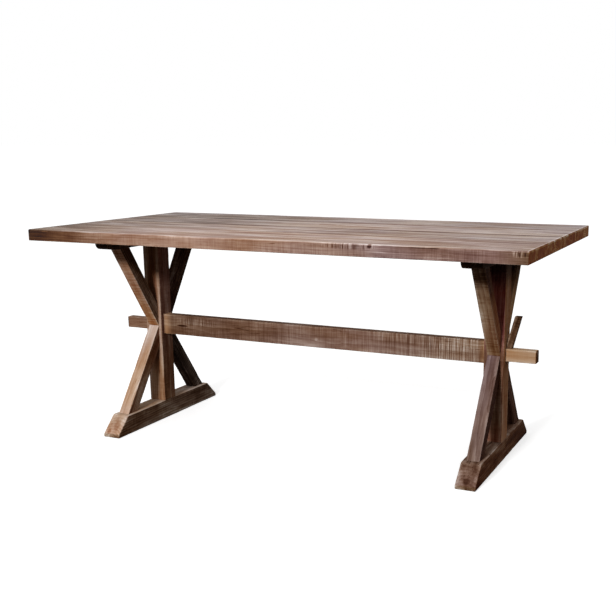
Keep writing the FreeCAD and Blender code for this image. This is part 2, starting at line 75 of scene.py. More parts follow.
def old_pine(
    name,
    tones,
    seed,
    faces=(),
    figure=0.3,
    mottle=0.25,
    streaks=0.4,
    streak_gap=0.025,
    ring_gap=0.008,
    saw_gap=0.010,
    saw_length=0.07,
    pith=(0.03, -0.05),
    end_tone=None,
    marks=(),
    roughness=0.82,
    specular=0.02,
):
    """Old pine: sawn across by a band saw, sanded, stained by age in patches, and waxed.

    To the eye that is a brown that changes along the piece, dark rings and fibres along the grain,
    saw marks across it that the sander left in the hollows, and paler arrises where hands rubbed.
    Each of these makes the tone deeper or paler through one power, so deep lines are also warmer.

    tones: places along the grain, each with its colour and how strongly the saw's marks show there.
    faces: faces that differ, each with the way it looks, how much of its own tones shows, its
    roughness, how strong its streaks are, and those tones. figure, mottle and streaks: how strong the
    grain is, the patches, and the wide streaks along it. marks: listed spots, each a middle, a reach
    along each axis, how much deeper it is, and whether saw lines fill it.
    """
    material = bpy.data.materials.new(name)
    material.use_nodes = True
    tree = material.node_tree
    shader = tree.nodes["Principled BSDF"]
    surface = add_node(tree, "TexCoord").outputs
    place = surface["Object"]
    offset = (seed * 1.7, seed * 2.3, seed * 3.1)

    # The grain wanders sideways by some millimetres over a hand's breadth.
    drawn = add_node(tree, "Mapping", {"Vector": place, "Location": offset, "Scale": (3, 8, 8)}).outputs[0]
    wander = add_node(tree, "TexNoise", {"Vector": drawn, "Scale": 1.0, "Detail": 1.0}).outputs["Color"]
    drift = [wander, (0.0, 0.016, 0.016), place]
    grain = add_node(tree, "VectorMath", drift, operation="MULTIPLY_ADD").outputs[0]

    # Noise drawn out along the grain, or across it for the saw: how far apart its features are along
    # the grain and across it, in metres, and how much finer detail it holds. Real fibres and pores are
    # finer, and are drawn this coarse to show.
    patterns = {}
    for title, source, lengthwise, crosswise, detail in (
        ("fibres", grain, 0.25, 0.0040, 4.0),
        ("streaks", grain, 0.35, streak_gap, 3.0),
        ("pores", grain, 0.03, 0.0025, 2.0),
        ("patches", place, 0.16, 0.05, 3.0),
        ("aged", place, 0.3, 0.1, 2.0),
        ("sawn", place, 0.11, 0.05, 2.0),
        ("saw", place, 0.6 * saw_gap, saw_length, 2.0),
        ("rubbed", place, 0.05, 0.02, 2.0),
        ("checks", grain, 0.45, 0.012, 1.0),
    ):
        scale = (1 / lengthwise, 1 / crosswise, 1 / crosswise)
        drawn = add_node(tree, "Mapping", {"Vector": source, "Location": offset, "Scale": scale}).outputs[0]
        shape = {"Vector": drawn, "Scale": 1.0, "Detail": detail, "Roughness": 0.6}
        patterns[title] = add_node(tree, "TexNoise", shape).outputs["Fac"]

    # Growth rings stand about the heart of the tree.
    about_heart = add_node(tree, "VectorMath", [grain, (0.0, *pith)], operation="SUBTRACT").outputs[0]
    shape = {"Vector": about_heart, "Scale": math.pi / 10 / ring_gap, "Distortion": 1.6, "Detail Scale": 0.4}
    ring_kind = {"wave_type": "RINGS", "rings_direction": "X", "wave_profile": "SAW"}
    rings = add_node(tree, "TexWave", shape, **ring_kind).outputs["Fac"]

    # The tones along the piece, first all round and then on faces that differ. The alpha of a stop is
    # how strongly the saw's marks show there.
    along = add_node(tree, "SeparateXYZ", [place]).outputs["X"]
    for way, amount, face_roughness, face_streaks, stops in [(None, 1.0, roughness, streaks, tones), *faces]:
        first, last = stops[0][0], stops[-1][0]
        ramp = add_node(tree, "ValToRGB", [add_node(tree, "MapRange", [along, first, last]).outputs[0]])
        for _ in stops[2:]:
            ramp.color_ramp.elements.new(0.5)
        for element, (at, _, _) in zip(ramp.color_ramp.elements, stops):
            element.position = (at - first) / (last - first)
        for element, (_, tone, saw) in zip(ramp.color_ramp.elements, stops):
            element.color = linear(tone)[:3] + [saw]
        if way is None:
            colour, saw_strength = ramp.outputs["Color"], ramp.outputs["Alpha"]
            rough, streak_strength = roughness, streaks
            continue
        turned = add_node(tree, "VectorMath", [surface["Normal"], way], operation="DOT_PRODUCT")
        faced = add_node(tree, "MapRange", [turned.outputs["Value"], 0.5, 0.75, 0.0, amount]).outputs[0]
        colour = add_node(tree, "MixRGB", [faced, colour, ramp.outputs["Color"]]).outputs[0]
        saw_strength = add_node(tree, "Mix", {0: faced, 2: saw_strength, 3: ramp.outputs["Alpha"]}).outputs[0]
        rough = add_node(tree, "Mix", {0: faced, 2: rough, 3: face_roughness}).outputs[0]
        streak_strength = add_node(tree, "Mix", {0: faced, 2: streak_strength, 3: face_streaks}).outputs[0]

    # What makes the tone deeper or paler: a pattern, the part of its range that counts, and how much
    # deeper the tone is at either end of that part. The power starts a little under one, because the
    # marks deepen the tone more than they lighten it.
    depth = 0.95
    for source, low, high, at_low, at_high in (
        (patterns["fibres"], 0.25, 0.75, 0.8 * figure, -0.8 * figure),
        (rings, 0.0, 1.0, -0.4 * figure, 0.7 * figure),
        (patterns["patches"], 0.3, 0.7, -mottle, mottle),
        (patterns["pores"], 0.60, 0.72, 0.0, 0.25),
    ):
        part = add_node(tree, "MapRange", [source, low, high, at_low, at_high]).outputs[0]
        depth = add_node(tree, "Math", [depth, part], operation="ADD").outputs[0]

    # Marks that show only in some places: the mark, where it shows, and how much deeper it is there.
    # An arris is rubbed pale where it counts above nothing, and holds dirt where it counts below.
    frayed = add_node(tree, "Math", [patterns["fibres"], 0.35, patterns["streaks"]], operation="MULTIPLY_ADD")
    streaked = add_node(tree, "MapRange", [frayed.outputs[0], 0.56, 0.81, -0.35, 0.65]).outputs[0]
    saw_lines = add_node(tree, "MapRange", [patterns["saw"], 0.40, 0.68, -0.4, 1.0]).outputs[0]
    sawn = add_node(tree, "MapRange", [patterns["sawn"], 0.33, 0.52, 0.15, 1.0]).outputs[0]
    saw_marks = add_node(tree, "Math", [saw_lines, sawn], operation="MULTIPLY").outputs[0]
    check_middle = add_node(tree, "Math", [patterns["checks"], 0.5], operation="PINGPONG").outputs[0]
    checks = add_node(tree, "MapRange", [check_middle, 0.490, 0.499]).outputs[0]
    checked = add_node(tree, "MapRange", [patterns["aged"], 0.52, 0.62]).outputs[0]
    arris = add_node(tree, "Attribute", attribute_name="arris").outputs["Fac"]
    rubbed_arris = add_node(tree, "Math", [arris, 0.0], operation="MAXIMUM").outputs[0]
    rubbed = add_node(tree, "MapRange", [patterns["rubbed"], 0.32, 0.58]).outputs[0]
    dirty_arris = add_node(tree, "Math", [arris, 0.0], operation="MINIMUM").outputs[0]
    end_grain = add_node(tree, "Attribute", attribute_name="end_grain").outputs["Fac"]
    end_stain = add_node(tree, "MapRange", [patterns["patches"], 0.35, 0.65, -0.3, 0.5]).outputs[0]
    for mark, where, deeper in (
        (streaked, streak_strength, 1.0),
        (saw_marks, saw_strength, 0.7),
        (checks, checked, 0.9),
        (rubbed_arris, rubbed, -0.35),
        (dirty_arris, 1.0, -1.3),
        (end_stain, end_grain, 1.0),
    ):
        part = add_node(tree, "Math", [mark, where], operation="MULTIPLY").outputs[0]
        depth = add_node(tree, "Math", [part, deeper, depth], operation="MULTIPLY_ADD").outputs[0]
    for middle, reach, deeper, is_sawn in marks:
        away = add_node(tree, "VectorMath", [place, middle], operation="SUBTRACT").outputs[0]
        shares = add_node(tree, "VectorMath", [away, reach], operation="DIVIDE").outputs[0]
        distance = add_node(tree, "VectorMath", [shares], operation="LENGTH").outputs["Value"]
        spot = add_node(tree, "MapRange", [distance, 0.5, 1.0, deeper, 0.0]).outputs[0]
        filling = [spot, saw_lines if is_sawn else 1.0, depth]
        depth = add_node(tree, "Math", filling, operation="MULTIPLY_ADD").outputs[0]

    # Age turned patches of the wood golden.
    golden = add_node(tree, "MapRange", [patterns["aged"], 0.42, 0.62, 0.0, 0.7]).outputs[0]
    colour = add_node(tree, "MixRGB", [golden, colour, linear("#fbf0da")], blend_type="MULTIPLY").outputs[0]
    if end_tone:
        colour = add_node(tree, "MixRGB", [end_grain, colour, linear(end_tone)]).outputs[0]
        rough = add_node(tree, "Math", [rough, end_grain], operation="MAXIMUM").outputs[0]
    colour = add_node(tree, "Gamma", [colour, depth]).outputs[0]
    uneven = add_node(tree, "MapRange", [depth, 0.6, 1.6, -0.06, 0.06]).outputs[0]
    rough = add_node(tree, "Math", [rough, uneven], operation="ADD").outputs[0]

    # The relief of the grain and of the saw, in shares of just under a millimetre.
    relief = 0.5
    for source, low, high, height in (
        (patterns["fibres"], 0.2, 0.8, 0.35),
        (rings, 0.0, 1.0, -0.18),
        (patterns["pores"], 0.60, 0.72, -0.4),
        (checks, 0.0, 1.0, -0.6),
    ):
        part = add_node(tree, "MapRange", [source, low, high, 0.0, height]).outputs[0]
        relief = add_node(tree, "Math", [relief, part], operation="ADD").outputs[0]
    hollows = add_node(tree, "Math", [saw_marks, saw_strength], operation="MULTIPLY").outputs[0]
    relief = add_node(tree, "Math", [hollows, -0.5, relief], operation="MULTIPLY_ADD").outputs[0]
    bump = add_node(tree, "Bump", {"Strength": 0.7, "Distance": 0.0009, "Height": relief})
    shader.inputs["Specular IOR Level"].default_value = specular
    for socket, source in (("Base Color", colour), ("Roughness", rough), ("Normal", bump.outputs[0])):
        tree.links.new(source, shader.inputs[socket])
    return material


def frame_at(origin, along, across):
    """The matrix of a piece whose own X runs along, and whose own Y runs across."""
    along, across = Vector(along).normalized(), Vector(across).normalized()
    turned = Matrix((along, across, along.cross(across))).transposed().to_4x4()
    return Matrix.Translation(origin) @ turned


ARRIS_FACETS = 4
FACE_STEP = 0.012  # between points across a face
ARRIS_MARGIN = 0.002  # the first point of a face beside an arris
ARRIS_BESIDE = 0.4  # how rubbed it is there
ARRIS_UNEVEN = 0.45  # by how much of itself an arris grows and shrinks
ARRIS_LEAST, ARRIS_MOST = 0.0003, 0.45  # its least radius, and the most of a face that it may take
CHIP_GAP = 0.16  # between chips along an arris
CHIP_SHORTEST, CHIP_LONGER, CHIP_DEEPEST = 0.005, 0.012, 0.0025
SAW_WANDER = 0.0004  # how deep the saw and the sander dipped into a face
SHOULDER_STEPS = (-0.001, -0.0001, 0.0001, 0.001)  # from a shoulder to the points beside it
END_RINGS = (0.75, 0.4)  # points inside an end, as shares of its outline
RUBBED, DIRTY = 1.0, -1.0


def worn_timber(
    name,
    matrix,
    ends,
    box_at,
    arris,
    seed,
    end_round=0.003,
    step=0.006,
    wear=(RUBBED,) * 4,
    end_wear=RUBBED,
    shoulders=(),
    chips=(),
):
    """A timber lofted along its own X between two cuts, each a point and a normal in the table's frame.

    box_at gives its low and high Y and its low and high Z at a place along it. The four arrises, which
    start at low Y and low Z and go round by high Y, are rounded unevenly and chipped here and there.
    wear and end_wear say whether they are rubbed or dirty, along the piece and round its ends.
    shoulders are the places where its section steps. chips adds some more, listed one by one: the arris,
    the place along the piece, half the length, and the depth.
    """
    draw = random.Random(seed)
    offset = Vector([draw.uniform(-40, 40) for _ in range(3)])
    origin, along, across, through = (matrix.col[i].to_3d() for i in (3, 0, 1, 2))

    def cut(end, y, z):
        point, normal = (Vector(v) for v in ends[end])
        rest = (point - origin - across * y - through * z).dot(normal)
        return rest / along.dot(normal)

    low, high = cut(0, 0, 0), cut(1, 0, 0)
    length = high - low
    chips = list(chips)
    for corner in range(4):
        for _ in range(round(length / CHIP_GAP)):
            size = draw.uniform(0.2, 1.0)
            middle = draw.uniform(low, high)
            chips.append((corner, middle, CHIP_SHORTEST + CHIP_LONGER * size, CHIP_DEEPEST * size * size))

    def radius_at(corner, x):
        """An arris swells in waves some 70 mm long, and in finer ones, and is wide where it is chipped."""
        rough = noise.noise(offset + Vector((x * 14, corner * 9.7, 0.5)))
        rough += 0.5 * noise.noise(offset + Vector((x * 60, corner * 9.7, 8.5)))
        radius = arris[corner] * (1 + ARRIS_UNEVEN * rough)
        for place, middle, half, depth in chips:
            if place == corner and abs(x - middle) < 3 * half:
                radius += depth * math.exp(-(((x - middle) / half) ** 2))
        return radius

    y0, y1, z0, z1 = box_at((low + high) / 2)
    spans = (y1 - y0, z1 - z0, y1 - y0, z1 - z0)
    fractions = []
    for span in spans:
        margin = min(0.3, ARRIS_MARGIN / span)
        inner = max(1, round(span / FACE_STEP) - 1)
        even = [margin + (1 - 2 * margin) * i / (inner + 1) for i in range(1, inner + 1)]
        fractions.append([margin] + even + [1 - margin])

    def section(x, inset):
        """Points round the timber with the way that each one faces and how worn its arris is."""
        y0, y1, z0, z1 = box_at(x)
        y0, y1, z0, z1 = y0 + inset, y1 - inset, z0 + inset, z1 - inset
        most = ARRIS_MOST * min(y1 - y0, z1 - z0)
        radii = [min(max(radius_at(k, x) - inset, ARRIS_LEAST), most) for k in range(4)]
        middles = [
            Vector((y0 + radii[0], z0 + radii[0])),
            Vector((y1 - radii[1], z0 + radii[1])),
            Vector((y1 - radii[2], z1 - radii[2])),
            Vector((y0 + radii[3], z1 - radii[3])),
        ]
        points = []
        for k in range(4):
            for facet in range(ARRIS_FACETS + 1):
                share = facet / ARRIS_FACETS
                angle = math.pi * (1 + k / 2 + share / 2)
                facing = Vector((math.cos(angle), math.sin(angle)))
                worn = wear[k] * max(math.sin(math.pi * share), ARRIS_BESIDE)
                points.append((middles[k] + radii[k] * facing, facing, worn))
            after = (k + 1) % 4
            first = middles[k] + radii[k] * facing
            last = middles[after] + radii[after] * facing
            count = len(fractions[k])
            beside = [ARRIS_BESIDE * wear[k]] + [0.0] * (count - 2) + [ARRIS_BESIDE * wear[after]]
            points += [(first.lerp(last, f), facing, worn) for f, worn in zip(fractions[k], beside)]
        return points

    # Each ring: its share of the way between the cuts, how far it is from there, how far its section
    # is drawn in, and whether it belongs to the end grain.
    turns = [math.pi / 2 * i / ARRIS_FACETS for i in range(ARRIS_FACETS + 1)]
    rounding = [(end_round * (1 - math.cos(a)), end_round * (1 - math.sin(a)), math.cos(a)) for a in turns]
    margin = (end_round + ARRIS_MARGIN) / length
    count = max(3, round(length / step))
    shares = [margin + (1 - 2 * margin) * i / count for i in range(count + 1)]
    shares += [(x + away - low) / length for x in shoulders for away in SHOULDER_STEPS]
    rings = [(0.0, past, inset, end) for past, inset, end in rounding]
    rings += [(share, 0.0, 0.0, 0.0) for share in sorted(shares)]
    rings += [(1.0, -past, inset, end) for past, inset, end in reversed(rounding)]

    # The saw and the sander left dips some 110 mm long and 40 mm across, and finer ones in them.
    vertices, near_arris, near_end = [], [], []
    for share, past, inset, end in rings:
        middle = low + (high - low) * share + past
        for point, facing, worn in section(middle, inset):
            x = cut(0, *point) * (1 - share) + cut(1, *point) * share + past
            rough = noise.noise(offset + Vector((x * 9, point.x * 26, point.y * 26)))
            rough += 0.35 * noise.noise(offset + Vector((x * 45, point.x * 70, point.y * 70)))
            dip = SAW_WANDER * min(max(0.5 + 0.5 * rough, 0), 1)
            y, z = point - facing * dip
            vertices.append((x, y, z))
            near_arris.append((1 - end) * worn + end_wear * math.sin(math.pi * end))
            near_end.append(end)
    around = len(vertices) // len(rings)
    faces = []
    for i in range(len(rings) - 1):
        for j in range(around):
            a, b = i * around + j, i * around + (j + 1) % around
            faces.append((a, b, b + around, a + around))
    for start, order in ((0, -1), (len(vertices) - around, 1)):
        outer = list(range(start, start + around))
        centre = sum((Vector(vertices[v]) for v in outer), Vector()) / around
        for share in END_RINGS:
            inner = list(range(len(vertices), len(vertices) + around))
            vertices += [tuple(centre.lerp(Vector(vertices[v]), share)) for v in range(start, start + around)]
            near_arris += [0.0] * around
            near_end += [1.0] * around
            for j in range(around):
                face = (outer[j], outer[(j + 1) % around], inner[(j + 1) % around], inner[j])
                faces.append(face[::order])
            outer = inner
        faces.append(tuple(outer[::order]))

    mesh = bpy.data.meshes.new(name)
    mesh.from_pydata(vertices, [], faces)
    for title, values in (("arris", near_arris), ("end_grain", near_end)):
        mesh.attributes.new(title, "FLOAT", "POINT").data.foreach_set("value", values)
    mesh.shade_smooth()
    piece = bpy.data.objects.new(name, mesh)
    piece.matrix_world = matrix
    bpy.context.scene.collection.objects.link(piece)
    return piece


def stand_for(piece, node, body, material):
    """Gives a piece its material, and lets it stand for the solid of that name on its body."""
    piece.data.materials.append(material)
    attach(piece, body)
    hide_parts(node)


FOOT_NOSE = 0.012  # the height of the blunt end
FOOT_SLOPE_LENGTH = 0.062
FOOT_BREAK = 0.004  # how softly the slope turns into the top of the foot
FOOT_ARRIS = (0.0025, 0.0025, 0.004, 0.004)
UPWARD = (0.0, 0.0, 1.0)
FOOT_TONES = {
    "left": [(0.0, "#765a46", 0.2), (0.66, "#664d3d", 0.3)],
    "right": [(0.0, "#603c28", 0.2), (0.66, "#533422", 0.3)],
}
FOOT_TOPS = {
    # The left foot's top is scuffed pale, and paler still as painted light where the table's top shades it.
    "left": [(0.0, "#d1ae99", 0.0), (0.07, "#d0bcae", 0.1), (0.66, "#bca798", 0.1)],
    "right": [(0.0, "#927b75", 0.0), (0.07, "#7a645a", 0.1), (0.66, "#6f5040", 0.1)],
}
FOOT_NOSES = {"left": "#ab917a", "right": "#977f6b"}
# Stains and knots on the near slope.
FOOT_MARKS = {
    "left": [
        ((0.030, -0.006, 0.040), (0.026, 0.016, 0.030), 0.65, False),
        ((0.010, 0.016, 0.020), (0.012, 0.010, 0.016), 0.55, False),
        ((0.046, 0.020, 0.055), (0.014, 0.010, 0.016), -0.2, False),
    ],
    "right": [((0.013, 0.0, 0.025), (0.016, 0.013, 0.013), 0.5, False)],
}

for seed, side in enumerate(("left", "right"), start=11):
    low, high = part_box(side + "_foot")
    length, half_width, height = high.y - low.y, (high.x - low.x) / 2, high.z

    def foot_box(x, length=length, half_width=half_width, height=height):
        end = min(x, length - x)
        slope = FOOT_NOSE + max(end, 0) * (height - FOOT_NOSE) / FOOT_SLOPE_LENGTH
        blend = max(FOOT_BREAK - abs(slope - height), 0) / FOOT_BREAK
        return -half_width, half_width, 0.0, min(slope, height) - FOOT_BREAK * blend * blend / 4

    place = frame_at(((low.x + high.x) / 2, low.y, 0), (0, 1, 0), (-1, 0, 0))
    ends = [((0, low.y, 0), (0, -1, 0)), ((0, high.y, 0), (0, 1, 0))]
    foot = worn_timber(side + "_foot_worn", place, ends, foot_box, FOOT_ARRIS, seed, step=0.004)
    wood = old_pine(
        side + "_foot_pine",
        FOOT_TONES[side],
        seed,
        faces=[(UPWARD, 0.9, 0.85, 0.4, FOOT_TOPS[side])],
        figure=0.35 if side == "left" else 0.2,
        mottle=0.4,
        pith=(0.01, -0.03),
        end_tone=FOOT_NOSES[side],
        marks=FOOT_MARKS[side],
    )
    stand_for(foot, side + "_foot", "table", wood)


# The posts. Each is a square length of old pine beam that stands with stub tenons in the foot and in
# the bearer. A mortise chopped right through it takes the tenon of the stretcher.

# Right post: its sides darken steeply at the top, painted shade from under the top.
POST_TONES = {
    "left": [(0.0, "#7c573f", 0.15), (0.3, "#7e5b4c", 0.15), (0.63, "#a07264", 0.15)],
    "right": [
        (0.0, "#b5886a", 0.1),
        (0.28, "#b88b6c", 0.1),
        (0.34, "#bd8c68", 0.1),
        (0.53, "#bb8a68", 0.1),
        (0.57, "#6d503c", 0.1),
        (0.60, "#3a281d", 0.1),
        (0.63, "#2e1f16", 0.1),
    ],
}
# Right post: the pale pink middle of its front is painted light, and its near-black top is painted shade from
# under the top.
POST_FRONTS = {
    "left": [(0.0, "#ad8c76", 0.15), (0.63, "#ad8c76", 0.15)],
    "right": [
        (0.0, "#8a5a48", 0.15),
        (0.08, "#6d4d39", 0.15),
        (0.31, "#6d4a3a", 0.15),
        (0.40, "#aa706f", 0.15),
        (0.52, "#b4706c", 0.15),
        (0.56, "#6b3d3a", 0.15),
        (0.59, "#331c19", 0.15),
        (0.63, "#2c1714", 0.15),
    ],
}
POST_FRONT_WAY = (0.0, 0.0, -1.0)
# A painted shadow of the upper brace on the front of the left post, behind that brace.
POST_PAINTED_SHADOWS = {"left": [((0.42, 0.002, -0.035), (0.36, 0.025, 0.020), 0.9, False)], "right": []}
TENON_HALF_WIDTH, TENON_HALF_HEIGHT = 0.015, 0.022
RAIL_RISE = 0.005  # how much higher the rail of the stretcher lies than its tenons
TENON_GAP = 0.0004
PAST_POST = 0.010  # how far a cutting block stands out at either side


def prism(name, corners, way):
    """A straight-sided block for cutting: an outline in the table's frame, carried along a way."""
    count = len(corners)
    vertices = [Vector(c) for c in corners] + [Vector(c) + Vector(way) for c in corners]
    faces = [tuple(range(count))[::-1], tuple(range(count, 2 * count))]
    faces += [(i, (i + 1) % count, (i + 1) % count + count, i + count) for i in range(count)]
    mesh = bpy.data.meshes.new(name)
    mesh.from_pydata(vertices, [], faces)
    block = bpy.data.objects.new(name, mesh)
    bpy.context.scene.collection.objects.link(block)
    return block


def cut_out(piece, block):
    """Cuts a block out of a piece for good."""
    cut = piece.modifiers.new("cut", "BOOLEAN")
    cut.object, cut.operation, cut.solver = block, "DIFFERENCE", "MANIFOLD"
    bpy.context.view_layer.update()
    shaped = bpy.data.meshes.new_from_object(piece.evaluated_get(bpy.context.evaluated_depsgraph_get()))
    piece.modifiers.clear()
    shaped.materials.clear()
    piece.data = shaped
    bpy.data.objects.remove(block)


foot_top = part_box("left_foot")[1].z
bearer_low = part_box("left_bearer")[0].z
low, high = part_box("stretcher")
tenon_level = (low.z + high.z) / 2 - RAIL_RISE
for seed, side in enumerate(("left", "right"), start=21):
    low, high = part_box(side + "_post")
    post_half = (high.y - low.y) / 2
    place = frame_at(((low.x + high.x) / 2, 0, foot_top), (0, 0, 1), (1, 0, 0))
    ends = [((0, 0, foot_top), (0, 0, -1)), ((0, 0, bearer_low), (0, 0, 1))]
    sides = (-post_half, post_half, -post_half, post_half)
    arris = (0.0015,) * 4
    post = worn_timber(side + "_post_worn", place, ends, lambda x: sides, arris, seed, end_round=0.001)
    width, height = TENON_HALF_WIDTH + TENON_GAP, TENON_HALF_HEIGHT + TENON_GAP
    outline = [
        (low.x - PAST_POST, y, tenon_level + z)
        for y, z in ((-width, -height), (width, -height), (width, height), (-width, height))
    ]
    cut_out(post, prism("tenon_passage", outline, (high.x - low.x + 2 * PAST_POST, 0, 0)))
    front = (POST_FRONT_WAY, 0.95, 0.82, 0.4, POST_FRONTS[side])
    wood = old_pine(
        side + "_post_pine",
        POST_TONES[side],
        seed,
        faces=[front],
        pith=(0.05, 0.02),
        marks=POST_PAINTED_SHADOWS[side],
    )
    stand_for(post, side + "_post", "table", wood)


# The braces. Four in each frame run from the post, level with the stretcher, out to the bearer and
# the foot, and make an X about the post. They are narrower stock, so they sit back from its faces,
# and they come from different old boards: some pale, some brown with the saw's marks left across.
# On some of them light and shade are painted into the tones: paler faces and darker upper ends.

BRACE_WIDTH = 0.046
BRACE_OUTER_WAY = (0.0, -1.0, 0.0)
BRACE_TONES = {
    "left_upper_front": [(0.0, "#6f5443", 0.2), (0.39, "#6a4e3d", 0.2)],
    "left_lower_front": [(0.0, "#8a6147", 0.15), (0.37, "#7d5944", 0.15)],
    "left_upper_back": [(0.0, "#6a4e40", 0.2), (0.39, "#664b3d", 0.2)],
    "left_lower_back": [(0.0, "#43342c", 0.2), (0.37, "#3f312a", 0.2)],
    # Its side is pale on the lower part, painted light, and darkens to its upper end, painted shade from the
    # top.
    "right_upper_front": [
        (0.0, "#ab7859", 0.4),
        (0.2, "#a87657", 0.4),
        (0.28, "#6a4636", 0.4),
        (0.39, "#3a251b", 0.4),
    ],
    "right_lower_front": [(0.0, "#3f251b", 0.1), (0.37, "#3f251b", 0.1)],
    # Darker towards its upper end: painted shade from the top.
    "right_upper_back": [
        (0.0, "#bf9672", 0.2),
        (0.2, "#bf9773", 0.2),
        (0.3, "#5e4736", 0.2),
        (0.39, "#33261c", 0.2),
    ],
    "right_lower_back": [(0.0, "#4a2e24", 0.2), (0.37, "#482d22", 0.2)],
}
BRACE_OUTER_TONES = {
    # Paler and pinker at its upper end: painted light in the top's shadow.
    "left_upper_front": [(0.0, "#c79e7d", 0.7), (0.39, "#cbab9b", 0.7)],
    "left_lower_front": [(0.0, "#d2b9aa", 0.1), (0.37, "#cfb5a4", 0.1)],
    "left_upper_back": [(0.0, "#7a5b49", 0.2), (0.39, "#7a5b49", 0.2)],
    "left_lower_back": [(0.0, "#6a5246", 0.2), (0.37, "#6a5246", 0.2)],
    # Darker towards its upper end: painted shade from the top.
    "right_upper_front": [
        (0.0, "#8e6949", 0.55),
        (0.1, "#896349", 0.55),
        (0.2, "#85654a", 0.55),
        (0.34, "#684a34", 0.55),
        (0.39, "#453122", 0.55),
    ],
    "right_lower_front": [(0.0, "#836b69", 0.05), (0.37, "#867066", 0.05)],
    "right_upper_back": [(0.0, "#7c5941", 0.2), (0.39, "#7c5941", 0.2)],
    "right_lower_back": [(0.0, "#644636", 0.2), (0.37, "#644636", 0.2)],
}

for seed, brace_name in enumerate(BRACE_TONES, start=31):
    side, level, facing = brace_name.split("_")
    low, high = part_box(f"{brace_name}_brace")
    way = -1 if facing == "front" else 1
    reach = max(-low.y, high.y)
    far_level = bearer_low if level == "upper" else foot_top
    start = Vector(((low.x + high.x) / 2, way * post_half, tenon_level))
    along = Vector((0, way * (reach - post_half), far_level - tenon_level)).normalized()
    inward = Vector((0, -along.z, along.y)) * (-way if level == "lower" else way)
    place = frame_at(start, along, inward)
    ends = [((0, way * post_half, 0), (0, -way, 0)), ((0, 0, far_level), (0, 0, along.z))]
    brace_half = (high.x - low.x) / 2
    sides = (0.0, BRACE_WIDTH, -brace_half, brace_half)
    piece_name = brace_name + "_brace_worn"
    brace = worn_timber(piece_name, place, ends, lambda x: sides, (0.0015,) * 4, seed, end_round=0.0008)
    wood = old_pine(
        brace_name + "_brace_pine",
        BRACE_TONES[brace_name],
        seed,
        faces=[(BRACE_OUTER_WAY, 0.95, 0.82, 0.4, BRACE_OUTER_TONES[brace_name])],
        mottle=0.4 if side == "left" else 0.15,
        saw_gap=0.008,
        pith=(-0.05, 0.03),
    )
    stand_for(brace, brace_name + "_brace", "table", wood)


# The bearers. Each is a rail of old pine under the top, rounded at its lower ends, that the post and
# two braces hold up. Its near-black tone is brown pine with the shade under the top painted in. Four
# screws go up through it into the boards, their heads sunk in bored recesses.

BEARER_END_RADIUS = 0.024
# The near-black of the bearers is painted shade from under the top.
BEARER_TONES_WITH_SHADE = [(0.0, "#2e1c12", 0.3), (0.62, "#2a190f", 0.3)]
RECESS_RADIUS, RECESS_DEPTH, RECESS_SIDES = 0.005, 0.006, 24
SCREW_INSET = 0.009  # from the side of the bearer to a screw

BOARD_NAMES = ("front", "front_middle", "back_middle", "back")
board_seats = [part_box("top_board_" + board_name) for board_name in BOARD_NAMES]
for seed, (side, outward) in enumerate((("left", -1), ("right", 1)), start=41):
    low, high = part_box(side + "_bearer")
    length, half_width = high.y - low.y, (high.x - low.x) / 2

    def bearer_box(x, length=length, half_width=half_width, height=high.z - low.z):
        short = BEARER_END_RADIUS - min(max(min(x, length - x), 0), BEARER_END_RADIUS)
        rise = BEARER_END_RADIUS - math.sqrt(max(BEARER_END_RADIUS ** 2 - short ** 2, 0))
        return -half_width, half_width, rise, height

    place = frame_at(((low.x + high.x) / 2, low.y, low.z), (0, 1, 0), (-1, 0, 0))
    ends = [((0, low.y, 0), (0, -1, 0)), ((0, high.y, 0), (0, 1, 0))]
    piece_name = side + "_bearer_worn"
    arris = (0.0015,) * 4
    bearer = worn_timber(piece_name, place, ends, bearer_box, arris, seed, end_round=0.0015, step=0.004)
    for number, (board_low, board_high) in enumerate(board_seats):
        turn = outward if number % 2 == 0 else -outward
        screw_x = (low.x + high.x) / 2 + turn * (half_width - SCREW_INSET)
        screw_y = (max(board_low.y, low.y) + min(board_high.y, high.y)) / 2
        outline = []
        for corner in range(RECESS_SIDES):
            angle = 2 * math.pi * corner / RECESS_SIDES
            spoke = RECESS_RADIUS * Vector((math.cos(angle), math.sin(angle), 0))
            outline.append(spoke + Vector((screw_x, screw_y, low.z - RECESS_DEPTH)))
        cut_out(bearer, prism("screw_recess", outline, (0, 0, 2 * RECESS_DEPTH)))
    wood = old_pine(side + "_bearer_pine", BEARER_TONES_WITH_SHADE, seed, pith=(0.03, 0.06))
    stand_for(bearer, side + "_bearer", "table", wood)


# The stretcher. One long rail of old pine between the posts, rough from the saw on its wide faces, with
# a tenon at each end that goes through its post and stands out. Each tenon has a slot for a wedge.

STRETCHER_SEED = 51
RAIL_HALF_THICKNESS, RAIL_HALF_HEIGHT = 0.018, 0.039
STRETCHER_TONES = [
    (-0.833, "#957563", 0.15),
    (-0.66, "#8c6c59", 0.15),
    (-0.645, "#b08868", 0.1),
    (-0.62, "#785a46", 0.25),
    (-0.2, "#836556", 0.35),
    (0.2, "#96796d", 0.45),
    (0.45, "#9a8072", 1.0),
    (0.625, "#9a8070", 1.0),
    (0.64, "#7e5a42", 0.5),
    (0.66, "#c09c7c", 0.1),
    (0.833, "#c3a386", 0.1),
]
